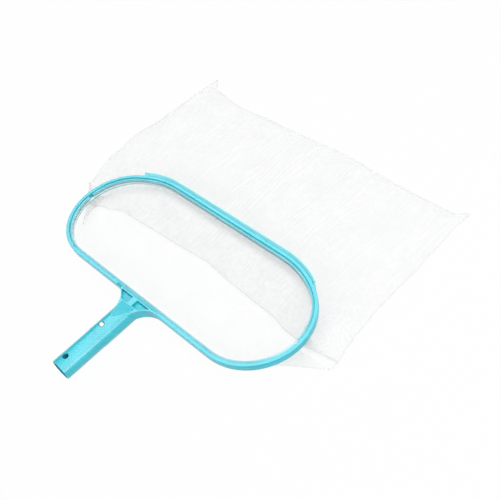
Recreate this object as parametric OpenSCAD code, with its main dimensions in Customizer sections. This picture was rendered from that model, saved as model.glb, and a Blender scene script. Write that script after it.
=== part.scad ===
// Leaf skimmer net: a moulded rim with a hollow handle, a snap-in mesh bag and a spring
// clip for the pole.  The origin is the centre of the handle's open end.  +Y runs up the
// handle towards the net, +Z is square to the rim, and z = 0 is the middle of the rail.

/* [Rim] */
// Straight run of the near rail, between its two end curves
near_straight = 258; // [220:2:320]
// Radius of the tight curve at each end, at the rail's centreline
end_radius = 75; // [66:1:84]
// Angle that the tight curve turns before the wide curve takes over
end_turn = 147; // [140:1:156]
// Radius of the wide curve that runs into the far rail
far_radius = 125; // [112:1:140]

/* [Rail section] */
// Height of the rail
rail_h = 10; // [9:0.5:13]
// From the rail's centreline to the outer edge of its top flange
flange_out = 3.4; // [3.2:0.1:4.6]
// From the rail's centreline to the wall that backs the retaining strip
web_in = 1.3; // [1:0.1:1.8]
// How far the outer wall stands back under the flange
wall_setback = 0.6; // [0.4:0.1:1]
// Thickness of the top flange
flange_t = 1.2; // [1.1:0.1:2]
// Height of the shadow line, the groove that parts the flange from the outer wall
shadow_h = 1.2; // [0.6:0.1:1.4]
// Depth of the shadow line
shadow_in = 1.2; // [0.6:0.1:1.3]
// Width of the channel that holds the hem and the retaining strip
channel_w = 3.6; // [3.6:0.1:5.6]
// Thickness of the ledge under the channel
ledge_t = 1.6; // [1.2:0.1:2.2]
// Height of the lip at the tip of the ledge
lip_h = 1.2; // [0.8:0.1:1.6]
// Thickness of the lip
lip_t = 1; // [0.8:0.1:1.4]

/* [Retaining strips] */
// Height of the strips
strip_h = 4.2; // [3.4:0.1:4.6]
// How far the strips' top lies below the flange's top
strip_drop = 0.2; // [0:0.1:0.6]
// How far the strips' top falls away from the mouth, down to the groove beside the flange
strip_fall = 1.6; // [0.6:0.1:1.6]
// Gap between the two strips at each side seam of the bag
strip_gap = 7; // [4:1:12]
// How far the strips' snap ridge stands out
snap_depth = 0.5; // [0.3:0.1:0.7]
// Height of the snap ridge
snap_h = 0.8; // [0.6:0.1:1.2]

/* [Edge guard] */
// How far the guard's blade leans out past the flange
guard_reach = 3.9; // [3:0.1:7]
// How far the guard's tip rises above the flange's top
guard_rise = 3.6; // [2:0.1:5]
// Direction of the rail at which the guard starts, on each side
guard_turn = 152; // [148:1:165]
// Thickness of the guard beside the rail
guard_t = 1.8; // [1.4:0.1:2.2]
// Thickness of the guard's blade at its tip
guard_tip_t = 1.6; // [1.2:0.1:2]
// How far below the flange's top the blade starts to lean out
guard_drop = 0.8; // [0.4:0.1:1]

/* [Handle] */
// From the open end of the handle to the near rail's centreline
handle_reach = 127.5; // [118:0.5:150]
// Outside diameter of the handle
handle_d = 29; // [27.6:0.1:31.6]
// Length of the handle's front stretch, which is relieved so that a pole starts easily
spigot_len = 58; // [50:1:62]
// How far the front stretch's skin is relieved
spigot_relief = 0.3; // [0.3:0.05:0.5]
// Wall of the handle
handle_wall = 2.2; // [1.8:0.1:2.6]
// From the open end to where the bore starts to narrow
bore_depth = 84; // [80:1:88]
// Length of the narrowing end of the bore
bore_nose = 24; // [20:1:26]
// Diameter at the bottom of the bore
bore_nose_d = 12.8; // [11:0.2:13.4]
// From the open end to the spare pair of clip holes
lock_hole_y = 14.2; // [10:0.2:20]
// From the open end to the pair of holes that the buttons stand in
button_y = 70.8; // [66:0.2:74]
// Diameter of the clip holes
clip_hole_d = 8; // [7.9:0.1:8.6]

/* [Yoke] */
// Radius of the curves where the handle spreads into the near rail
yoke_radius = 31; // [24:1:33]
// Height of the yoke's top above the rim's middle
yoke_top = 8.6; // [7.6:0.1:9]
// How far the yoke's top reaches past each pocket before it slopes down to the rail
shoulder = 2; // [1.5:0.5:4]
// Length of the slope from the top of the handle down to the yoke
slope_len = 26; // [20:1:30]
// Where the slope starts, measured back from the near rail's centreline
slope_back = 41.5; // [39:0.5:46]
// Where the slope under the handle ends, back from the near rail's centreline
under_back = 9.5; // [8:0.5:14]
// Length of the slope under the handle
under_len = 26; // [20:1:30]
// Half the width of the rib between the two pockets
rib_half = 4.3; // [3:0.1:6]
// Reach of each pocket from the middle, on the rail's side
pocket_reach = 27.4; // [23:0.1:28.4]
// Reach of each pocket from the middle, on the handle's side
pocket_foot = 15.5; // [12:0.1:18]
// Length of the pockets along the handle
pocket_len = 10.6; // [7:0.1:12]
// Wall between the pockets and the rail's flange
pocket_wall = 0.7; // [0.6:0.1:2]
// Height of the pockets' floor above the rim's middle
pocket_floor = 4.8; // [2:0.1:5.6]
// Radius of the pockets' corners
pocket_corner = 1.2; // [0.6:0.1:2]

/* [Spring clip] */
// Width of the clip's spring strip
clip_w = 6; // [5:0.1:6.6]
// Thickness of the spring strip
clip_t = 0.8; // [0.6:0.1:1]
// Radius of the clip's bend, at the outside of the strip
bend_r = 4; // [3.4:0.1:4.4]
// How far the legs reach past the buttons
leg_past = 5; // [4:0.2:7]
// Diameter of the buttons
button_d = 6.4; // [5.8:0.1:6.5]
// How far the buttons stand out of the handle
button_proud = 1.8; // [1.2:0.1:2.2]
// Diameter of the collar under each button
button_collar_d = 9; // [8.8:0.1:9.2]
// Thickness of that collar
button_collar_t = 1; // [0.8:0.1:1.2]
// Diameter of the rivet that holds a button to its leg
rivet_d = 2.4; // [2:0.1:3]
// Diameter of the rivet's head under the leg
rivet_head_d = 4; // [3.6:0.1:5]
// Thickness of the rivet's head
rivet_head_t = 0.6; // [0.4:0.1:1]

/* [Bag] */
// From the near rail's centreline to the bag's closed end, laid flat
bag_len = 346; // [300:2:420]
// From the near rail's centreline to the line where the upper panel folds back
fold_at = 89.5; // [70:0.5:110]
// Thickness of a panel with the air that its mesh holds
panel_t = 1.7; // [1.2:0.1:2]
// Direction in which the lower panel leaves each end of the rim
flare_turn = 40; // [30:1:50]
// Diameter of the hem around its cord
hem_d = 2.2; // [2:0.1:2.4]
// Diameter of the cord in the hem
hem_cord_d = 1.4; // [1:0.1:1.5]
// Wall of the hem
hem_wall = 0.3; // [0.15:0.05:0.35]
// Width of the seams along the bag's sides and end
seam_w = 3; // [2:0.5:6]

/* [Fits] */
// Gap between a piece and the one that it is clipped into
fit_gap = 0.2; // [0.1:0.05:0.3]
// Gap between soft pieces, and round the clip
soft_gap = 0.3; // [0.2:0.05:0.4]

/* [Hidden] */

$fn = 96;

// Colours
blue = "#5FCDDE";
pale_blue = "#8FE0EC";
guard_blue = "#62C8D8";
mesh_white = "#F2F5F5";
cord_white = "#E8ECEC";
button_white = "#F6F6F4";
steel = "#B8BCC0";

// Plan of the rim
half_straight = near_straight / 2;
rail_y = handle_reach;
turn_shift = far_radius - end_radius;
far_half = half_straight - turn_shift * sin(end_turn);
rim_w = end_radius * (1 - cos(end_turn)) + far_radius * (1 + cos(end_turn));
far_y = rail_y + rim_w;
end_y = rail_y + end_radius;
half_round = half_straight + far_half
    + (end_radius * end_turn + far_radius * (180 - end_turn)) * PI / 180;

// Heights and widths in the rail's section, with n outwards from the centreline
top_z = rail_h / 2;
low_z = -rail_h / 2;
under_flange_z = top_z - flange_t;
shadow_z = under_flange_z - shadow_h;
flange_edge = flange_t / 4;
wall_n = flange_out - wall_setback;
lip_n = -web_in - channel_w;
ledge_z = low_z + ledge_t;
lip_z = ledge_z + lip_h;
strip_top = top_z - strip_drop;
strip_low = strip_top - strip_h;
snap_z = strip_low + strip_h / 3;
hem_n = -web_in - channel_w / 2 + lip_t / 2;
hem_z = ledge_z + hem_d / 2 + fit_gap;

// Handle
handle_r = handle_d / 2;
bore_r = handle_r - handle_wall;
slope_y = rail_y - slope_back;
under_y = rail_y - under_back;
flange_y = rail_y - flange_out;
yoke_half = sqrt(pow(handle_r, 2) - pow(yoke_top, 2)) - 0.4 + yoke_radius;
yoke_y = rail_y - wall_n - yoke_radius;

// Spring clip
bore_end = bore_depth + bore_nose;
bend_y = bore_end - soft_gap - bend_r;
leg_root_z = bend_r - clip_t / 2;
dome_r = button_d / 2;
button_top = handle_r + button_proud;
dome_z = button_top - dome_r;
collar_room = sqrt(pow(bore_r, 2) - pow(button_collar_d / 2, 2)) - 2 * soft_gap;
collar_z = floor(collar_room * 100) / 100;
leg_z = collar_z - button_collar_t - clip_t / 2;
knee_y = button_y + button_collar_d / 2 + 1;
tip_y = button_y - leg_past;

// Bag, which lies on the floor just below the lower button
floor_z = -button_top - fit_gap;
lower_top = floor_z + panel_t;
return_low = lower_top + soft_gap;
return_top = return_low + panel_t;
tuck_top = -9;
tuck_low = tuck_top - panel_t;
collar_n = lip_n - soft_gap;
collar_t = 0.8;
collar_top = lip_z + 1;
bag_half = half_round / 2;
bag_end = rail_y + bag_len;
fold_y = rail_y + fold_at;
flare_corner = 20;
end_corner = 8;
tuck_inset = 2;

eps = 0.01;

// ---- helpers -------------------------------------------------------------------------

function unit(v) = v / norm(v);

// The corner at b between a and c, rounded to radius r
function corner(a, b, c, r, n = 5) =
    r == 0 ? [b] :
    let (u = unit(a - b), v = unit(c - b), half = acos(u * v) / 2,
         o = b + unit(u + v) * r / sin(half),
         p = b + u * r / tan(half), q = b + v * r / tan(half),
         a0 = atan2(p.y - o.y, p.x - o.x),
         d = (atan2(q.y - o.y, q.x - o.x) - a0 + 540) % 360 - 180)
    [for (i = [0:n]) o + r * [cos(a0 + d * i / n), sin(a0 + d * i / n)]];

// A closed outline from corners [[x, y], radius]
function rounded(cs) =
    [for (i = [0:len(cs) - 1])
        each corner(cs[(i + len(cs) - 1) % len(cs)][0], cs[i][0],
                    cs[(i + 1) % len(cs)][0], cs[i][1])];

function mirrored(ps) = [for (i = [len(ps) - 1:-1:0]) [-ps[i].x, ps[i].y]];

// Points of one end of the rim, n outwards from its centreline, between two directions
function end_points(n, from, to, step = 3) =
    [for (h = [from:step:to])
        h <= end_turn
            ? [half_straight, end_y] + (end_radius + n) * [sin(h), -cos(h)]
            : [far_half, far_y - far_radius] + (far_radius + n) * [sin(h), -cos(h)]];

// Moves to [x, y] in three steps, each short enough to be held to its last digit
module place(p) {
    whole = [floor(p.x), floor(p.y), 0];
    rest = [p.x, p.y, 0] - whole;
    part = [floor(rest.x * 1000), floor(rest.y * 1000), 0] / 1000;
    translate(whole) translate(part) translate(rest - part) children();
}

// Sweeps a section round the rim, from one direction of the rail to another on each side.
// The section's X is n, outwards from the centreline, and its Y is height.
module round_rim(from = 0, to = 180) {
    if (from == 0)
        translate([-half_straight, rail_y, 0]) rotate([90, 0, 90])
            linear_extrude(near_straight) mirror([1, 0]) children();
    for (side = [0, 1]) mirror([side, 0, 0]) {
        if (from < end_turn)
            bend([half_straight, end_y], end_radius, from, min(to, end_turn)) children();
        if (to > end_turn)
            bend([far_half, far_y - far_radius], far_radius, max(from, end_turn), to)
                children();
        if (to == 180)
            place([far_half, far_y]) rotate([90, 0, -90])
                linear_extrude(ceil(far_half) + 1) mirror([1, 0]) children();
    }
}

module bend(centre, radius, from, to) {
    place(centre) rotate_extrude(angle = to - from, start = from - 90, $fn = 180)
        translate([radius, 0]) children();
}

// A prism along X whose outline is drawn in Y and Z
module along_x(half) {
    translate([-half, 0, 0]) rotate([90, 0, 90]) linear_extrude(2 * half) children();
}

module along_y(r, from, to) {
    translate([0, from, 0]) rotate([-90, 0, 0]) cylinder(r = r, h = to - from);
}

// ---- frame: rim, yoke and handle in one moulding -------------------------------------

module rail_section() {
    snap_top = snap_z + snap_h + fit_gap;
    snap_low = snap_z - fit_gap;
    snap_n = -web_in + snap_depth + fit_gap;
    polygon(rounded([
        [[lip_n, low_z], 0.5], [[wall_n, low_z], 0.6],
        [[wall_n, shadow_z], 0.2], [[wall_n - shadow_in, shadow_z], 0],
        [[wall_n - shadow_in, under_flange_z], 0],
        [[flange_out, under_flange_z + flange_edge], 0],
        [[flange_out, top_z], 0.6], [[-web_in, top_z], 0.5],
        [[-web_in, snap_top], 0], [[snap_n, snap_top - snap_depth], 0],
        [[snap_n, snap_low], 0], [[-web_in, snap_low], 0],
        [[-web_in, ledge_z], 0.4], [[lip_n + lip_t, ledge_z], 0.3],
        [[lip_n + lip_t, lip_z], 0.3], [[lip_n, lip_z], 0.3]]));
}

// Side view of the yoke: a slope down from the handle above and below
module yoke_side() {
    reach = handle_r + 2;
    top_run = slope_len * (reach - yoke_top) / (handle_r - yoke_top);
    low_run = under_len * (reach + low_z) / (handle_r + low_z);
    polygon([
        [spigot_len, -reach], [under_y - low_run, -reach], [under_y, low_z],
        [rail_y, low_z], [rail_y, top_z], [flange_y + pocket_wall, yoke_top],
        [slope_y + slope_len, yoke_top], [slope_y + slope_len - top_run, reach],
        [spigot_len, reach]]);
}

// Plan of the yoke, with a hollow curve on each side that leaves the handle inside its skin
module yoke_plan() {
    difference() {
        translate([-yoke_half, yoke_y]) square([2 * yoke_half, rail_y - yoke_y]);
        for (s = [-1, 1]) translate([s * yoke_half, yoke_y]) circle(yoke_radius);
    }
}

// Front view of the yoke, whose top slopes down to the rail at both sides
module yoke_front() {
    flat = pocket_reach + shoulder;
    polygon([[-yoke_half, low_z], [yoke_half, low_z], [yoke_half, top_z], [flat, yoke_top],
             [-flat, yoke_top], [-yoke_half, top_z]]);
}

module yoke() {
    intersection() {
        along_x(yoke_half + 1) yoke_side();
        union() {
            along_y(handle_r, spigot_len, rail_y);
            intersection() {
                translate([0, 0, low_z]) linear_extrude(yoke_top - low_z) yoke_plan();
                translate([0, rail_y, 0]) rotate([90, 0, 0])
                    linear_extrude(rail_y - yoke_y) yoke_front();
            }
        }
    }
}

module pockets() {
    rail_side = flange_y - pocket_wall;
    for (s = [0, 1]) mirror([s, 0, 0])
        translate([0, 0, pocket_floor]) linear_extrude(handle_r)
            polygon(rounded([
                [[rib_half, rail_side - pocket_len], pocket_corner],
                [[pocket_foot, rail_side - pocket_len], pocket_corner],
                [[pocket_reach, rail_side], pocket_corner / 2],
                [[rib_half, rail_side], pocket_corner]]));
}

module bore() {
    along_y(bore_r, -1, bore_depth);
    translate([0, bore_depth, 0]) rotate([-90, 0, 0])
        cylinder(r1 = bore_r, r2 = bore_nose_d / 2, h = bore_nose);
}

module clip_holes() {
    for (y = [lock_hole_y, button_y])
        translate([0, y, -handle_r - 1]) cylinder(d = clip_hole_d, h = 2 * handle_r + 2);
}

module frame() {
    color(blue) difference() {
        union() {
            round_rim() rail_section();
            yoke();
            along_y(handle_r - spigot_relief, 0, spigot_len);
        }
        pockets();
        bore();
        clip_holes();
    }
}

// ---- retaining strips and edge guard -------------------------------------------------

module strip_section() {
    outer = -web_in - fit_gap;
    inner = lip_n + fit_gap;
    polygon(rounded([
        [[inner, strip_low], 0.4], [[outer, strip_low], 0.4],
        [[outer, snap_z], 0], [[outer + snap_depth, snap_z], 0],
        [[outer, snap_z + snap_h], 0],
        [[outer, strip_top - strip_fall], 0.2], [[inner, strip_top], 0.5]]));
}

// Half the gap between the strips, as a turn of the rail
half_gap = round(strip_gap / 2 / end_radius * 18000 / PI) / 100;

module near_strip() {
    color(pale_blue) round_rim(0, 90 - half_gap) strip_section();
}

module far_strip() {
    color(pale_blue) round_rim(90 + half_gap, 180) strip_section();
}

// A cheek that clips on under the flange, and a blade that leans out and up
module guard_section() {
    root = wall_n + fit_gap;
    cheek = flange_out + fit_gap;
    tip = flange_out + guard_reach;
    tip_z = top_z + guard_rise;
    brow = under_flange_z - fit_gap;
    polygon(rounded([
        [[root, low_z], 0.4], [[cheek + guard_t, low_z], 1],
        [[cheek + guard_t, under_flange_z], 3], [[tip, tip_z], 0.6],
        [[tip - guard_tip_t, tip_z], 0.6], [[cheek, top_z - guard_drop], 0.5],
        [[cheek, brow], 0], [[root, brow], 0.2]]));
}

module edge_guard() {
    color(guard_blue) round_rim(guard_turn, 180) guard_section();
}

// ---- bag -----------------------------------------------------------------------------

module cord_section(d) {
    translate([hem_n, hem_z]) circle(d = d, $fn = 12);
}

module hem_cord() {
    color(cord_white) round_rim() cord_section(hem_cord_d);
}

module bag_hem() {
    color(mesh_white) difference() {
        round_rim() cord_section(hem_d);
        round_rim() cord_section(hem_d - 2 * hem_wall);
    }
}

// The band of mesh that comes over the lip and hangs down inside the rim
module collar_section(foot) {
    hem_side = hem_n - hem_d / 2 - eps;
    polygon([
        [collar_n - collar_t, foot], [collar_n, foot], [collar_n, collar_top - collar_t],
        [hem_side, collar_top - collar_t], [hem_side, collar_top],
        [collar_n - collar_t, collar_top]]);
}

module near_collar() {
    color(mesh_white) round_rim(0, 90 - half_gap) collar_section(lower_top);
}

module far_collar() {
    color(mesh_white) round_rim(90 + half_gap, 180) collar_section(tuck_top);
}

// Outline of the laid-out bag, from under the near rail to its closed end
module bag_plan(inset = 0) {
    n = collar_n + soft_gap - inset;
    curve = end_points(n, 0, flare_turn, flare_turn / 8);
    leave = curve[len(curve) - 1];
    side = bag_half - inset;
    flare_y = leave.y + (side - leave.x) * tan(flare_turn);
    end = bag_end - inset;
    right = concat(curve,
        corner(leave, [side, flare_y], [side, end], flare_corner),
        corner([side, flare_y], [side, end], [0, end], end_corner));
    polygon(concat(right, mirrored(right)));
}

module beyond(y) {
    translate([-bag_half, y]) square([2 * bag_half, bag_end - y]);
}

module bag_lower_panel() {
    color(mesh_white) translate([0, 0, floor_z]) linear_extrude(panel_t) bag_plan();
}

// The upper panel runs in from the far rail, folds back and lies on the lower panel
module bag_upper_panel() {
    n = collar_n;
    inside = end_points(n, 0, 180);
    color(mesh_white) {
        translate([0, 0, tuck_low]) linear_extrude(panel_t) intersection() {
            polygon(concat(inside, mirrored(inside)));
            beyond(fold_y);
        }
        translate([0, 0, return_low]) linear_extrude(tuck_top - return_low)
            intersection() {
                polygon(concat(inside, mirrored(inside)));
                translate([-bag_half, fold_y]) square([2 * bag_half, panel_t]);
            }
        translate([0, 0, return_low]) linear_extrude(panel_t) intersection() {
            bag_plan(tuck_inset);
            beyond(fold_y);
        }
    }
}

module side_seam(s) {
    from = fold_y + flare_corner;
    to = bag_end - end_corner;
    color(cord_white) translate([s > 0 ? bag_half + fit_gap : -bag_half - fit_gap - seam_w,
                                 from, floor_z])
        cube([seam_w, to - from, return_top - floor_z]);
}

module left_side_seam() { side_seam(-1); }

module right_side_seam() { side_seam(1); }

module end_seam() {
    half = bag_half - end_corner;
    color(cord_white) translate([-half, bag_end + fit_gap, floor_z])
        cube([2 * half, seam_w, return_top - floor_z]);
}

// ---- spring clip ---------------------------------------------------------------------

module clip_bend() {
    color(steel) translate([-clip_w / 2, bend_y, 0]) rotate([90, 0, 90])
        rotate(-90) rotate_extrude(angle = 180) translate([bend_r - clip_t, 0])
            square([clip_t, clip_w]);
}

// A leg slopes up from the bend and lies flat under its button
module leg() {
    root_y = bend_y - soft_gap;
    difference() {
        translate([0, 0, -clip_t / 2]) along_x(clip_w / 2) polygon([
            [root_y, leg_root_z], [knee_y, leg_z], [tip_y, leg_z],
            [tip_y, leg_z + clip_t], [knee_y, leg_z + clip_t],
            [root_y, leg_root_z + clip_t]]);
        translate([0, button_y, 0]) cylinder(d = rivet_d + fit_gap, h = handle_r);
    }
}

module clip_upper_leg() {
    color(steel) leg();
}

module clip_lower_leg() {
    color(steel) mirror([0, 0, 1]) leg();
}

// A dome on a barrel, with a collar that stays inside the handle and a rivet under it
module button() {
    foot_z = leg_z - clip_t / 2;
    translate([0, button_y, 0]) {
        translate([0, 0, dome_z]) rotate_extrude() intersection() {
            circle(dome_r);
            square(dome_r);
        }
        translate([0, 0, collar_z]) cylinder(r = dome_r, h = dome_z - collar_z);
        translate([0, 0, collar_z - button_collar_t])
            cylinder(d = button_collar_d, h = button_collar_t);
        translate([0, 0, foot_z - rivet_head_t / 2])
            cylinder(d = rivet_d, h = clip_t + (rivet_head_t + button_collar_t) / 2);
        translate([0, 0, foot_z - rivet_head_t]) cylinder(d = rivet_head_d, h = rivet_head_t);
    }
}

module upper_button() {
    color(button_white) button();
}

module lower_button() {
    color(button_white) mirror([0, 0, 1]) button();
}

frame();
near_strip();
far_strip();
edge_guard();
hem_cord();
bag_hem();
near_collar();
far_collar();
bag_lower_panel();
bag_upper_panel();
left_side_seam();
right_side_seam();
end_seam();
clip_bend();
clip_upper_leg();
clip_lower_leg();
upper_button();
lower_button();
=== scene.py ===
"""Looks for the leaf skimmer net: plastics, see-through mesh bag, seams, floor, light, camera.

The bag is drawn in millimetres, in the part's own frame, and piece() turns it into metres.
"""

import math
from functools import partial

import bpy
from mathutils import Matrix, Vector, noise

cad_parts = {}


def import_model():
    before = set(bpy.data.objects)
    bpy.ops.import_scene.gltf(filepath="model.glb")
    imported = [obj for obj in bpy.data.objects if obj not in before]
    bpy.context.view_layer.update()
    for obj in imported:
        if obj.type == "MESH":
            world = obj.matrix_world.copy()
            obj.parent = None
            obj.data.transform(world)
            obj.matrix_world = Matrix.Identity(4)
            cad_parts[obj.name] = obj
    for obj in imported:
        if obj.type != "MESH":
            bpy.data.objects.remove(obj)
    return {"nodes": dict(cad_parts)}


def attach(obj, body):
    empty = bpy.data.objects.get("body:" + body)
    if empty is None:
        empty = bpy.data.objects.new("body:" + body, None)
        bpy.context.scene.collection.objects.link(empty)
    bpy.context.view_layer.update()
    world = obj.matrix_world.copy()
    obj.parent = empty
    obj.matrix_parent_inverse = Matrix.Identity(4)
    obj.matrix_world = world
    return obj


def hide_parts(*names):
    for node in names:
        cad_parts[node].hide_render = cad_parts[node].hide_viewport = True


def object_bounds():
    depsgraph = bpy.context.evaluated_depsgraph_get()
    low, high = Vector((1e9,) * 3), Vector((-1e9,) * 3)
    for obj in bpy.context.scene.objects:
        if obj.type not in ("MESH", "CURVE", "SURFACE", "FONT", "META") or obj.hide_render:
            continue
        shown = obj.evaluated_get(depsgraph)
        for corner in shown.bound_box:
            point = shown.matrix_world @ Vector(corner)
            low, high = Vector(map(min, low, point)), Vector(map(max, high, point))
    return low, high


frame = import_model()
nodes = frame["nodes"]
cad_lo, cad_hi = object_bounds()
FLOOR = cad_lo.z
MM = 0.001


# ---- shader helpers ------------------------------------------------------------------


def new_material(name):
    m = bpy.data.materials.new(name)
    m.use_nodes = True
    nt = m.node_tree
    nt.nodes.clear()
    out = nt.nodes.new("ShaderNodeOutputMaterial")
    return m, nt, out


def add(nt, kind, **values):
    n = nt.nodes.new(kind)
    for key, value in values.items():
        n.inputs[key].default_value = value
    return n


def math_node(nt, op, *values):
    n = nt.nodes.new("ShaderNodeMath")
    n.operation = op
    for i, v in enumerate(values):
        if isinstance(v, (int, float)):
            n.inputs[i].default_value = v
        else:
            nt.links.new(v, n.inputs[i])
    return n.outputs[0]


def ramp(nt, value, start, stop, low, high):
    """The colour low up to start, high from stop on, and a blend between them."""
    r = nt.nodes.new("ShaderNodeValToRGB")
    r.color_ramp.elements[0].position = start
    r.color_ramp.elements[1].position = stop
    r.color_ramp.elements[0].color = (*low, 1)
    r.color_ramp.elements[1].color = (*high, 1)
    nt.links.new(value, r.inputs[0])
    return r.outputs[0]


def map_range(nt, value, start, stop, low, high):
    """The number low up to start, high from stop on, and a blend between them."""
    n = nt.nodes.new("ShaderNodeMapRange")
    nt.links.new(value, n.inputs[0])
    for i, v in enumerate((start, stop, low, high), 1):
        n.inputs[i].default_value = v
    return n.outputs[0]


def cloud(nt, place, scale, detail):
    n = add(nt, "ShaderNodeTexNoise", Scale=scale, Detail=detail)
    nt.links.new(place, n.inputs["Vector"])
    return n.outputs[0]


def emboss(nt, shader, height, strength, distance):
    bump = add(nt, "ShaderNodeBump", Strength=strength, Distance=distance)
    nt.links.new(height, bump.inputs["Height"])
    nt.links.new(bump.outputs[0], shader.inputs["Normal"])


def srgb(text):
    c = [int(text[i : i + 2], 16) / 255 for i in (1, 3, 5)]
    return tuple(x / 12.92 if x <= 0.04045 else ((x + 0.055) / 1.055) ** 2.4 for x in c)


# ---- materials -----------------------------------------------------------------------

# The yoke's two pockets, whose floors the mould leaves matt: middle and half span in Y, height
POCKET_Y, POCKET_HALF, POCKET_Z = 0.1181, 0.0056, 0.0048
POCKET_REACH = 0.0003
POCKET_ROUGHNESS = 0.4


def pocket_mask(nt, pos):
    """1 on the floors of the pockets, 0 elsewhere."""
    place = nt.nodes.new("ShaderNodeSeparateXYZ")
    nt.links.new(pos, place.inputs[0])
    level = math_node(nt, "COMPARE", place.outputs[2], POCKET_Z, POCKET_REACH)
    inside = math_node(nt, "COMPARE", place.outputs[1], POCKET_Y, POCKET_HALF)
    return math_node(nt, "MULTIPLY", level, inside)


def plastic(name, low, high, roughness, coat=0.5, subsurface=0.0, pockets=False):
    """Moulded plastic: a faint cloudy colour, a fine satin grain and slow flow waves.

    low and high are the ends of its range of colour.
    """
    m, nt, out = new_material(name)
    b = add(nt, "ShaderNodeBsdfPrincipled", IOR=1.57)
    b.inputs["Coat Weight"].default_value = coat
    b.inputs["Coat Roughness"].default_value = 0.2
    b.inputs["Subsurface Weight"].default_value = subsurface
    b.inputs["Subsurface Radius"].default_value = (1.0, 1.0, 1.0)
    b.inputs["Subsurface Scale"].default_value = 0.003
    pos = add(nt, "ShaderNodeTexCoord").outputs["Object"]
    tint = cloud(nt, pos, scale=38.0, detail=4.0)
    grain = cloud(nt, pos, scale=1900.0, detail=2.0)
    flow = cloud(nt, pos, scale=9.0, detail=3.0)
    nt.links.new(ramp(nt, tint, 0.3, 0.7, srgb(low), srgb(high)), b.inputs["Base Color"])
    rough = map_range(nt, flow, 0.0, 1.0, roughness - 0.05, roughness + 0.07)
    if pockets:
        rough = math_node(nt, "MULTIPLY_ADD", pocket_mask(nt, pos), POCKET_ROUGHNESS, rough)
    nt.links.new(rough, b.inputs["Roughness"])
    height = math_node(nt, "ADD", math_node(nt, "MULTIPLY", grain, 0.02),
                       math_node(nt, "MULTIPLY", flow, 0.6))
    emboss(nt, b, height, strength=0.12, distance=0.001)
    nt.links.new(b.outputs[0], out.inputs[0])
    return m


def steel():
    """Spring strip, brushed along its length."""
    m, nt, out = new_material("spring_steel")
    b = add(nt, "ShaderNodeBsdfPrincipled", Metallic=1.0)
    pos = add(nt, "ShaderNodeTexCoord").outputs["Object"]
    stretch = add(nt, "ShaderNodeMapping", Scale=(3000.0, 60.0, 900.0))
    nt.links.new(pos, stretch.inputs[0])
    lines = cloud(nt, stretch.outputs[0], scale=1.0, detail=3.0)
    colour = ramp(nt, lines, 0.3, 0.7, (0.42, 0.43, 0.45), (0.62, 0.63, 0.64))
    nt.links.new(colour, b.inputs["Base Color"])
    nt.links.new(map_range(nt, lines, 0.0, 1.0, 0.22, 0.4), b.inputs["Roughness"])
    emboss(nt, b, lines, strength=0.1, distance=0.0005)
    nt.links.new(b.outputs[0], out.inputs[0])
    return m


def cloth(name, low, high, pitch, hole, solid, taut=0.0):
    """Net: threads along the sheet's own length and width, see-through between them.

    low and high are the ends of its range of colour, pitch is the way from thread to thread,
    hole and solid are how far holes and threads cover what lies behind them, and taut is how
    far from the hem the rim pulls the net open.
    """
    m, nt, out = new_material(name)
    b = add(nt, "ShaderNodeBsdfPrincipled", Roughness=0.75)
    b.inputs["Sheen Weight"].default_value = 0.15
    b.inputs["Specular IOR Level"].default_value = 0.25
    flat = add(nt, "ShaderNodeUVMap").outputs[0]
    split = nt.nodes.new("ShaderNodeSeparateXYZ")
    nt.links.new(flat, split.inputs[0])
    crowns = []
    for axis in (0, 1):
        turn = math_node(nt, "MULTIPLY", split.outputs[axis], math.pi / pitch)
        wave = math_node(nt, "ABSOLUTE", math_node(nt, "SINE", turn))
        crowns.append(math_node(nt, "POWER", math_node(nt, "SUBTRACT", 1.0, wave), 1.6))
    thread = math_node(nt, "MAXIMUM", *crowns)
    patch = cloud(nt, flat, scale=26.0, detail=3.0)
    nt.links.new(ramp(nt, patch, 0.35, 0.65, srgb(low), srgb(high)), b.inputs["Base Color"])
    cover = map_range(nt, thread, 0.15, 0.75, hole, solid)
    if taut:
        pull = map_range(nt, split.outputs[1], 0.2 * taut, taut, 0.35, 1.0)
        cover = math_node(nt, "MULTIPLY", cover, pull)
    nt.links.new(cover, b.inputs["Alpha"])
    emboss(nt, b, thread, strength=0.35, distance=0.0003)
    nt.links.new(b.outputs[0], out.inputs[0])
    return m


BLUE = plastic("rim_plastic", "#14B7C7", "#27C2D2", 0.29, subsurface=0.03, pockets=True)
# The two strips are one plastic: the near strip's colour is painted paler, as a painted
# highlight, and the far strip's is painted darker, as painted shade.
NEAR_STRIP_PAINTED_LIGHT = plastic("strip_plastic", "#8CCFDA", "#A0D9E2", 0.26, subsurface=0.4)
FAR_STRIP_PAINTED_SHADE = plastic("far_strip_plastic_painted_shade", "#70C8D2", "#80D0D9", 0.3, subsurface=0.4)
GUARD = plastic("guard_plastic", "#98E5F0", "#A9ECF5", 0.3, subsurface=0.6)
BUTTON = plastic("button_plastic", "#F2F2EF", "#FBFBF9", 0.28, coat=0.3)
STEEL = steel()
NET = cloth("mesh", "#DDDFDF", "#E7E8E8", pitch=0.0011, hole=0.08, solid=0.35, taut=0.024)
# The hem is the same net doubled: its colour is painted whiter than the net's, as painted light
# against the shade it lies in under the rim, with a faint painted blue cast from the plastic
# beside it.
HEM_PAINTED_LIGHT = cloth("hem_mesh_painted_light", "#F0FBFC", "#F8FEFE", pitch=0.0009, hole=0.7, solid=0.92)
SEAM = cloth("seam_mesh", "#DDDFDF", "#E7E8E8", pitch=0.0009, hole=0.14, solid=0.34)
THREAD = cloth("thread", "#EEF1F2", "#F8F9FA", pitch=0.0006, hole=0.8, solid=0.95)

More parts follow.
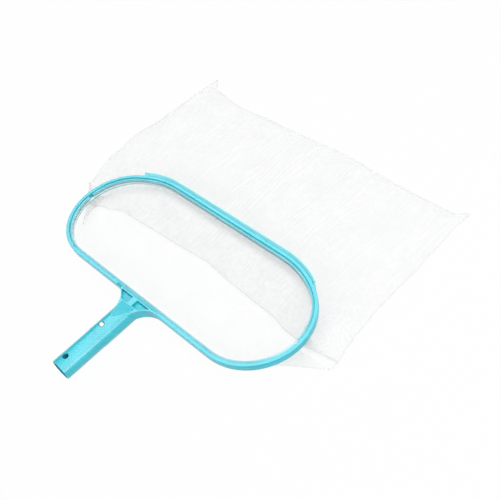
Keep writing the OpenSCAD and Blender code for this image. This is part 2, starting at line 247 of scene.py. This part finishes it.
FINISH = {
    "frame": BLUE, "near_strip": NEAR_STRIP_PAINTED_LIGHT, "far_strip": FAR_STRIP_PAINTED_SHADE, "edge_guard": GUARD,
    "hem_cord": THREAD, "clip_bend": STEEL, "clip_upper_leg": STEEL,
    "clip_lower_leg": STEEL, "upper_button": BUTTON, "lower_button": BUTTON,
}
for name, material in FINISH.items():
    mesh = nodes[name].data
    mesh.materials.clear()
    mesh.materials.append(material)


# ---- the rim's plan ------------------------------------------------------------------

# As in the CAD source: the near rail's half length, the radii of its ends and of the far
# corners, the near rail's centreline, and the inner lip, counted outwards from that line
HALF, END_R, FAR_R, RAIL_Y, LIP = 129.0, 75.0, 125.0, 127.5, -4.9
TURN = math.radians(147)
FAR_HALF = HALF - (FAR_R - END_R) * math.sin(TURN)
FAR_Y = RAIL_Y + END_R * (1 - math.cos(TURN)) + FAR_R * (1 + math.cos(TURN))
# Arc lengths from the near middle to the far middle and to the side seam
ROUND = HALF + FAR_HALF + END_R * TURN + FAR_R * (math.pi - TURN)
SEAM_S = HALF + END_R * math.pi / 2


def turned(x, y, radius, heading):
    """Point of an arc round (x, y) where the rail has turned by heading."""
    return Vector((x + radius * math.sin(heading), y - radius * math.cos(heading)))


def rim(s, n):
    """Point at arc length s from the near middle, towards +X, and n outwards."""
    if s < HALF:
        return Vector((s, RAIL_Y - n))
    s -= HALF
    if s < END_R * TURN:
        return turned(HALF, RAIL_Y + END_R, END_R + n, s / END_R)
    s -= END_R * TURN
    if s < FAR_R * (math.pi - TURN):
        return turned(FAR_HALF, FAR_Y - FAR_R, FAR_R + n, TURN + s / FAR_R)
    s -= FAR_R * (math.pi - TURN)
    return Vector((FAR_HALF - s, FAR_Y + n))


def on_rim(s, sign, n, z):
    """The same point on the side of the rim that X's sign gives, and z high."""
    p = rim(s, n)
    return Vector((sign * p.x, p.y, z))


# ---- the laid bag's outline ----------------------------------------------------------

# Its sides as (y, distance from the middle), its sewn end and the line where its top folds
# back as (x, y)
RIGHT = [(206, 248), (218, 246.5), (236, 241.5), (263, 239), (300, 236), (361, 236),
         (454, 234), (482, 236)]
LEFT = [(222, 243), (279, 260), (333, 264), (388, 256), (443, 253), (495, 247)]
END = [(-250, 494), (-228, 475), (-166, 467), (-97, 471), (34, 476), (134, 471), (216, 471),
       (236, 482)]
FOLD = [(-246, 223), (-204, 196), (-180, 206), (-150, 217), (-62, 221), (15, 226), (78, 220),
        (141, 217), (173, 211), (200, 209), (246, 215)]
# Where the sides are measured for the sewn end and for the fold
END_Y, FOLD_Y = 478, 218
# Where each side seam starts, by X's sign, and where the lower panel comes out from under the
# rail beside the yoke, on either side
SEAM_START = {1: (248.0, 206.0), -1: (-243.0, 223.0)}
COME_OUT = (172.0, 146.0)
# Share of a run after which its points are led to the sewn end
LED_FROM = 0.9


def ease(t):
    t = min(1.0, max(0.0, t))
    return t * t * (3 - 2 * t)


def beyond(t, start):
    """0 up to start, then rising to 1 at 1."""
    return ease((t - start) / (1 - start))


def between(x, points):
    """Smooth curve through a few (x, y) points."""
    if x <= points[0][0]:
        return points[0][1]
    for (x0, y0), (x1, y1) in zip(points, points[1:]):
        if x <= x1:
            return y0 + (y1 - y0) * ease((x - x0) / (x1 - x0))
    return points[-1][1]


def side(u, y):
    """X at the share u of the way from the middle to the right side (-1: to the left)."""
    return u * between(y, RIGHT if u > 0 else LEFT)


def end_point(u):
    """Point of the sewn end at the share u of its width."""
    x = side(u, END_Y)
    return Vector((x, between(x, END)))


def towards_end(x, t, end):
    """x, led to the sewn end's own point over the last part of a run."""
    return x + (end.x - x) * max(0.0, (t - LED_FROM) / (1 - LED_FROM))


def ripple(x, y, seed, size=34.0):
    """Soft uneven folds, from 0 to 1."""
    a = noise.noise(Vector((x / size, y / (2.2 * size), seed)))
    b = noise.noise(Vector((x / (0.4 * size), y / size, seed + 7.3)))
    return min(1.0, max(0.0, 0.5 + 0.62 * a + 0.24 * b))


def freedom(t, u, start, stop, edge):
    """How freely the net waves: 1, and 0 at both ends of a run and at the side seams."""
    return ease(t / start) * ease((1 - t) / stop) * ease((1 - abs(u)) / edge)


# ---- paths of the two panels ---------------------------------------------------------

# Height of the lower panel where it lies, and how far above it the upper one lies: in its
# middle, and at least
LAY = FLOOR / MM + 0.25
UPPER_LIFT, LEAST_LIFT = 1.9, 0.5
# Both panels leave the channel and come over the lip: (outwards of the rail, height)
OVER_LIP = [(-3.7, -1.7), (LIP + 0.4, -1.5), (LIP - 0.45, -1.9)]
# Share of the half width from which the lower panel turns out to its corner
CORNER = 0.72
# From the foot of the hanging part down to the part that lies: the height and the way inwards
FOOT_RISE, FOOT_RUN = 0.5, 6.0
# Share of a run and of the half width from which the upper panel comes down to its seams
SEAM_FROM = 0.93
# Under the rim the upper panel's waves have this share of their height, up to this Y, and
# they reach their full height after this much more
UNDER_RIM, UNDER_RIM_Y, UNDER_RIM_FADE = 0.25, 260, 40
# Heights of the waves
LOWER_WAVE, TUCK_WAVE, UPPER_WAVE = 1.0, 1.3, 2.7
# Height where the upper panel starts its way to the fold, and the fold's reach
TUCK_Z, LOOP_REACH = -8.9, 3.0
# Steps of each stretch of the paths
FOOT_STEPS, LOWER_STEPS, TUCK_STEPS, LOOP_STEPS, UPPER_STEPS = 4, 59, 15, 8, 55


def lower_path(u):
    """From the hem, over the lip, down to the floor and out to the sewn end."""
    sign = 1 if u >= 0 else -1
    at = partial(on_rim, abs(u) * SEAM_S, sign)
    pleat = 0.5 * noise.noise(Vector((u * 22, 0.0, 3.1)))
    points = [at(n, z) for n, z in OVER_LIP]
    points += [at(LIP - 0.9, -4.8), at(LIP - 1.9 + pleat, -8.8), at(LIP - 2.9 + 2 * pleat, -12.8)]
    foot = at(LIP - 4.4 + 2 * pleat, LAY + FOOT_RISE)
    points.append(foot)
    # The net goes straight in from its foot, and towards its sides it turns out to its corner
    if abs(u) < CORNER:
        base = foot + Vector((0, FOOT_RUN, -FOOT_RISE))
    else:
        out = (abs(u) - CORNER) / (1 - CORNER)
        corner = Vector((*SEAM_START[sign], LAY))
        turn_out = Vector((sign * COME_OUT[0], COME_OUT[1], LAY)).lerp(corner, out)
        base = Vector((foot.x, foot.y, LAY)).lerp(turn_out, ease(out))
    for i in range(1, FOOT_STEPS + 1):
        t = i / FOOT_STEPS
        p = foot.lerp(base, t)
        points.append(Vector((p.x, p.y, LAY + FOOT_RISE * (1 - t))))
    end = end_point(u)
    for i in range(1, LOWER_STEPS + 1):
        t = i / LOWER_STEPS
        y = base.y + (end.y - base.y) * t
        x = side(u, y) + (base.x - side(u, base.y)) * (1 - ease(t / 0.35))
        x = towards_end(x, t, end)
        free = freedom(t, u, start=0.08, stop=0.06, edge=0.08)
        wave = LOWER_WAVE * free * ripple(x, y, seed=1.0)
        points.append(Vector((x, y, LAY + wave)))
    return points


def upper_path(u):
    """From the hem, down inside the far rail, forward to the fold and back to the end."""
    at = partial(on_rim, ROUND - abs(u) * (ROUND - SEAM_S), 1 if u >= 0 else -1)
    pleat = 0.5 * noise.noise(Vector((u * 20, 5.0, 1.7)))
    foot = at(LIP - 7.2 + 2 * pleat, TUCK_Z)
    points = [at(n, z) for n, z in OVER_LIP]
    points += [at(LIP - 2.0, -4.2), at(LIP - 4.4 + pleat, -7.0), foot]
    fold_x = side(u, FOLD_Y)
    back = between(fold_x, FOLD) + LOOP_REACH
    for i in range(1, TUCK_STEPS + 1):
        t = i / TUCK_STEPS
        p = Vector((foot.x, foot.y)).lerp(Vector((fold_x, back)), t)
        sag = TUCK_Z - 1.2 * ease(t) - 2.6 * beyond(abs(u), 0.8) * ease(t / 0.5)
        free = freedom(t, u, start=0.2, stop=0.1, edge=0.12)
        wave = TUCK_WAVE * free * (ripple(p.x, p.y, seed=4.0, size=26) - 0.6)
        points.append(Vector((p.x, p.y, sag + wave)))
    low = LAY + UPPER_LIFT
    loop = (points[-1].z - low) / 2
    for i in range(1, LOOP_STEPS):
        a = math.pi * i / LOOP_STEPS
        reach, rise = LOOP_REACH * math.sin(a), loop * math.cos(a)
        points.append(Vector((fold_x, back - reach, low + loop + rise)))
    end = end_point(u)
    for i in range(0, UPPER_STEPS + 1):
        t = i / UPPER_STEPS
        y = back + (end.y - back) * t
        x = fold_x + (side(u, y) - fold_x) * ease(t / 0.2)
        x = towards_end(x, t, end)
        end_drop = 1.3 * beyond(t, SEAM_FROM)
        side_drop = 1.0 * beyond(abs(u), SEAM_FROM) * ease(t / 0.1)
        lift = max(LEAST_LIFT, UPPER_LIFT - end_drop - side_drop)
        share = UNDER_RIM + (1 - UNDER_RIM) * ease((y - UNDER_RIM_Y) / UNDER_RIM_FADE)
        free = freedom(t, u, start=0.05, stop=0.05, edge=0.07)
        wave = UPPER_WAVE * share * free * ripple(x, y, seed=9.0, size=40)
        points.append(Vector((x, y, LAY + lift + wave)))
    return points


# ---- pieces of the bag ---------------------------------------------------------------


def piece(name, verts, faces, flat, material):
    """A smooth piece on the net's body, from millimetres, with flat as its UV in metres."""
    mesh = bpy.data.meshes.new(name)
    mesh.from_pydata([v * MM for v in verts], [], faces)
    layer = mesh.uv_layers.new(name="UVMap")
    for loop in mesh.loops:
        u, v = flat[loop.vertex_index]
        layer.data[loop.index].uv = (u * MM, v * MM)
    for face in mesh.polygons:
        face.use_smooth = True
    mesh.materials.append(material)
    obj = bpy.data.objects.new(name, mesh)
    bpy.context.scene.collection.objects.link(obj)
    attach(obj, "net")
    return obj


def quads(rows, columns, closed=False):
    """Faces between columns of points, each column with this many rows."""
    faces = []
    for i in range(columns if closed else columns - 1):
        for j in range(rows - 1):
            a, b = i * rows + j, (i + 1) % columns * rows + j
            faces.append((a, b, b + 1, a + 1))
    return faces


def lengths_of(points):
    """Way along a path up to each of its points."""
    lengths = [0.0]
    for a, b in zip(points, points[1:]):
        lengths.append(lengths[-1] + (b - a).length)
    return lengths


def point_at(points, lengths, want):
    """Point of a path after this way along it."""
    k = 0
    while k < len(points) - 2 and lengths[k + 1] < want:
        k += 1
    span = max(1e-9, lengths[k + 1] - lengths[k])
    return points[k].lerp(points[k + 1], min(1.0, (want - lengths[k]) / span))


def panel(name, path, rows, columns):
    """A sheet of net from paths across it, with its flat size as its UV."""
    verts, flat = [], []
    for i in range(columns):
        u = -1 + 2 * i / (columns - 1)
        points = path(u)
        lengths = lengths_of(points)
        for j in range(rows):
            way = lengths[-1] * j / (rows - 1)
            verts.append(point_at(points, lengths, way))
            flat.append((u * SEAM_S, way))
    return piece(name, verts, quads(rows, columns), flat, NET)


def hem_band():
    """The hem: the net doubled round its cord, then over the lip and down inside the rim."""
    cord_n, cord_z, cord_r = -2.6, -2.1, 0.95
    # Below this height it waves a little
    wavy_from = -2.8
    steps = 420
    line = []
    for degrees in range(-150, 125, 25):
        a = math.radians(degrees)
        line.append((cord_n + cord_r * math.cos(a), cord_z + cord_r * math.sin(a)))
    line += [(LIP + 1.0, -1.5), (LIP + 0.2, -1.4), (LIP - 0.35, -1.15), (LIP - 0.85, -1.3),
             (LIP - 1.05, -1.9), (LIP - 0.9, -2.7)]
    verts, flat = [], []
    for i in range(steps):
        s = -ROUND + 2 * ROUND * i / steps
        sign = 1 if s >= 0 else -1
        sway = 0.55 * noise.noise(Vector((s / 9.0, 2.0, 0.4)))
        drop = 0.5 * noise.noise(Vector((s / 21.0, 8.0, 0.9)))
        run = 0.0
        for k, (n, z) in enumerate(line):
            low = max(0.0, (z - wavy_from) / wavy_from)
            verts.append(on_rim(abs(s), sign, n - abs(sway) * low, z + drop * low))
            if k:
                run += math.dist(line[k - 1], (n, z))
            flat.append((s, run))
    faces = quads(len(line), steps, closed=True)
    return piece("hem_band", verts, faces, flat, HEM_PAINTED_LIGHT)


# Half width and height of a tape, and its section as (share of half width, share of height)
TAPE_HALF, TAPE_HEIGHT = 1.8, 0.4
TAPE_SECTION = [(1, 0), (0.9, 0.7), (0.4, 1), (-0.4, 1), (-0.9, 0.7), (-1, 0)]


def tape(name, line):
    """A doubled edge: a low rounded band along a path."""
    verts, flat = [], []
    lengths = lengths_of(line)
    for i, p in enumerate(line):
        d = (line[min(i + 1, len(line) - 1)] - line[max(i - 1, 0)]).normalized()
        across = Vector((-d.y, d.x, 0))
        for c, h in TAPE_SECTION:
            verts.append(p + across * TAPE_HALF * c + Vector((0, 0, TAPE_HEIGHT * h)))
            flat.append((TAPE_HALF * c, lengths[i]))
    faces = quads(len(TAPE_SECTION), len(line))
    return piece(name, verts, faces, flat, SEAM)


# Length of a stitch, the gap to the next, the thread's radius and the number of its sides
STITCH, STITCH_GAP, STITCH_R, STITCH_SIDES = 3.0, 1.6, 0.14, 6
# A stitch's rings as (share of its length, share of its radius, rise in radii)
STITCH_RINGS = [(0, 0.35, -0.3), (0.15, 1, 0.4), (0.85, 1, 0.4), (1, 0.35, -0.3)]


def stitches(name, line):
    """Short raised threads on a tape."""
    verts, faces = [], []
    lengths = lengths_of(line)
    s = STITCH_GAP
    while s + STITCH < lengths[-1]:
        a, b = point_at(line, lengths, s), point_at(line, lengths, s + STITCH)
        along = (b - a).normalized()
        wide = Vector((-along.y, along.x, 0))
        first = len(verts)
        for t, grow, rise in STITCH_RINGS:
            c = a.lerp(b, t) + Vector((0, 0, TAPE_HEIGHT + STITCH_R * rise))
            for k in range(STITCH_SIDES):
                turn = math.tau * k / STITCH_SIDES
                out = wide * STITCH_R * grow * math.cos(turn)
                up = Vector((0, 0, STITCH_R * grow * math.sin(turn)))
                verts.append(c + out + up)
        rings = [range(i, i + STITCH_SIDES) for i in range(first, len(verts), STITCH_SIDES)]
        for r0, r1 in zip(rings, rings[1:]):
            for k in range(STITCH_SIDES):
                after = (k + 1) % STITCH_SIDES
                faces.append((r0[k], r0[after], r1[after], r1[k]))
        faces.append(tuple(rings[0])[::-1])
        faces.append(tuple(rings[-1]))
        s += STITCH + STITCH_GAP
    return piece(name, verts, faces, [(v.x, v.y) for v in verts], THREAD)


def side_line(sign):
    """A side seam, led over its last steps to the sewn end's corner."""
    steps, led = 70, 10
    # Y just behind the seam's start
    first = 208 if sign > 0 else 224
    end = Vector((*end_point(sign), LAY))
    line = []
    for i in range(steps + 1):
        y = first + (end.y - first) * i / steps
        line.append(Vector((side(sign, y), y, LAY)).lerp(end, max(0.0, (i - steps + led) / led)))
    return line


def end_line():
    """The seam of the sewn end."""
    steps = 60
    return [Vector((*end_point(-1 + 2 * i / steps), LAY)) for i in range(steps + 1)]


# ---- the bag -------------------------------------------------------------------------

lower = panel("bag_lower_net", lower_path, rows=110, columns=181)
upper = panel("bag_upper_net", upper_path, rows=120, columns=181)
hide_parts("bag_lower_panel", "near_collar")
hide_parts("bag_upper_panel", "far_collar")

hem = hem_band()
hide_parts("bag_hem")
sewn = []
for label, line, node in (("left_side", side_line(-1), "left_side_seam"),
                          ("right_side", side_line(1), "right_side_seam"),
                          ("end", end_line(), "end_seam")):
    band = tape(label + "_tape", line)
    sewing = stitches(label + "_stitches", line)
    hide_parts(node)
    sewn += [band, sewing]


# ---- floor and surroundings ----------------------------------------------------------

WHITE = (1, 1, 1, 1)
FLOOR_HALF = 6.0
FLOOR_WHITE = 0.97


def floor():
    """Grey for the light that bounces off it, and nearly white to the camera and in mirrors."""
    r = FLOOR_HALF
    mesh = bpy.data.meshes.new("floor")
    mesh.from_pydata([(-r, -r, FLOOR), (r, -r, FLOOR), (r, r, FLOOR), (-r, r, FLOOR)], [],
                     [(0, 1, 2, 3)])
    obj = bpy.data.objects.new("floor", mesh)
    bpy.context.scene.collection.objects.link(obj)
    m, nt, out = new_material("floor_white")
    grey = add(nt, "ShaderNodeBsdfDiffuse", Color=(0.6, 0.6, 0.6, 1))
    white = add(nt, "ShaderNodeEmission", Color=WHITE, Strength=1.0)
    path = nt.nodes.new("ShaderNodeLightPath")
    seen = math_node(nt, "MAXIMUM", path.outputs["Is Camera Ray"],
                     math_node(nt, "MAXIMUM", path.outputs["Is Glossy Ray"],
                               path.outputs["Is Transmission Ray"]))
    mix = nt.nodes.new("ShaderNodeMixShader")
    nt.links.new(math_node(nt, "MULTIPLY", seen, FLOOR_WHITE), mix.inputs[0])
    nt.links.new(grey.outputs[0], mix.inputs[1])
    nt.links.new(white.outputs[0], mix.inputs[2])
    nt.links.new(mix.outputs[0], out.inputs[0])
    mesh.materials.append(m)


def world():
    """White behind the floor, and a soft fill from all round."""
    w = bpy.data.worlds.new("studio")
    bpy.context.scene.world = w
    w.use_nodes = True
    nt = w.node_tree
    nt.nodes.clear()
    out = nt.nodes.new("ShaderNodeOutputWorld")
    soft = add(nt, "ShaderNodeBackground", Color=WHITE, Strength=0.2)
    white = add(nt, "ShaderNodeBackground", Color=WHITE, Strength=1.0)
    path = nt.nodes.new("ShaderNodeLightPath")
    mix = nt.nodes.new("ShaderNodeMixShader")
    nt.links.new(path.outputs["Is Camera Ray"], mix.inputs[0])
    nt.links.new(soft.outputs[0], mix.inputs[1])
    nt.links.new(white.outputs[0], mix.inputs[2])
    nt.links.new(mix.outputs[0], out.inputs[0])


floor()
world()


# ---- lights --------------------------------------------------------------------------


def lamp(name, where, target, size, power, width=None):
    """A round softbox, or a long one of this width, turned to its target."""
    light = bpy.data.lights.new(name, "AREA")
    light.shape = "RECTANGLE" if width else "DISK"
    light.size = size
    if width:
        light.size_y = width
    light.energy = power
    obj = bpy.data.objects.new(name, light)
    bpy.context.scene.collection.objects.link(obj)
    obj.location = where
    obj.rotation_euler = (Vector(target) - Vector(where)).to_track_quat("-Z", "Y").to_euler()
    return obj


# The bank hangs level overhead and is turned so that the handle reflects it
bank = lamp("bank", (0.3, 0.56, 1.5), (0.3, 0.56, 0.0), size=4.6, power=45, width=0.9)
bank.rotation_euler = (0.0, 0.0, math.radians(-6.8))
lamp("front", (0.1, -1.5, 1.1), (0.0, 0.2, 0.0), size=1.2, power=13)
lamp("side", (1.9, 0.2, 0.62), (0.0, 0.12, 0.0), size=0.8, power=9)


# ---- camera --------------------------------------------------------------------------

# Fitted to the photo: its width and the focal length in pixels, the place, and the ways that
# lie to the right, down and forward in the picture
PHOTO_WIDE, FOCAL = 500, 822.04
SENSOR = 36
EYE = (0.6443, -0.0935, 0.7779)
RIGHTWARD = Vector((0.69189, 0.69384, -0.19969))
DOWNWARD = Vector((0.4498, -0.63058, -0.6325))
FORWARD = Vector((-0.56477, 0.3478, -0.74838))


def camera():
    cam = bpy.data.cameras.new("camera")
    cam.sensor_width = SENSOR
    cam.lens = FOCAL / PHOTO_WIDE * SENSOR
    cam.clip_start, cam.clip_end = 0.01, 30
    eye = bpy.data.objects.new("camera", cam)
    bpy.context.scene.collection.objects.link(eye)
    turn = Matrix((RIGHTWARD, -DOWNWARD, -FORWARD)).transposed()
    eye.matrix_world = Matrix.Translation(EYE) @ turn.to_4x4()
    bpy.context.scene.camera = eye


camera()
bpy.context.scene.view_settings.view_transform = "Standard"
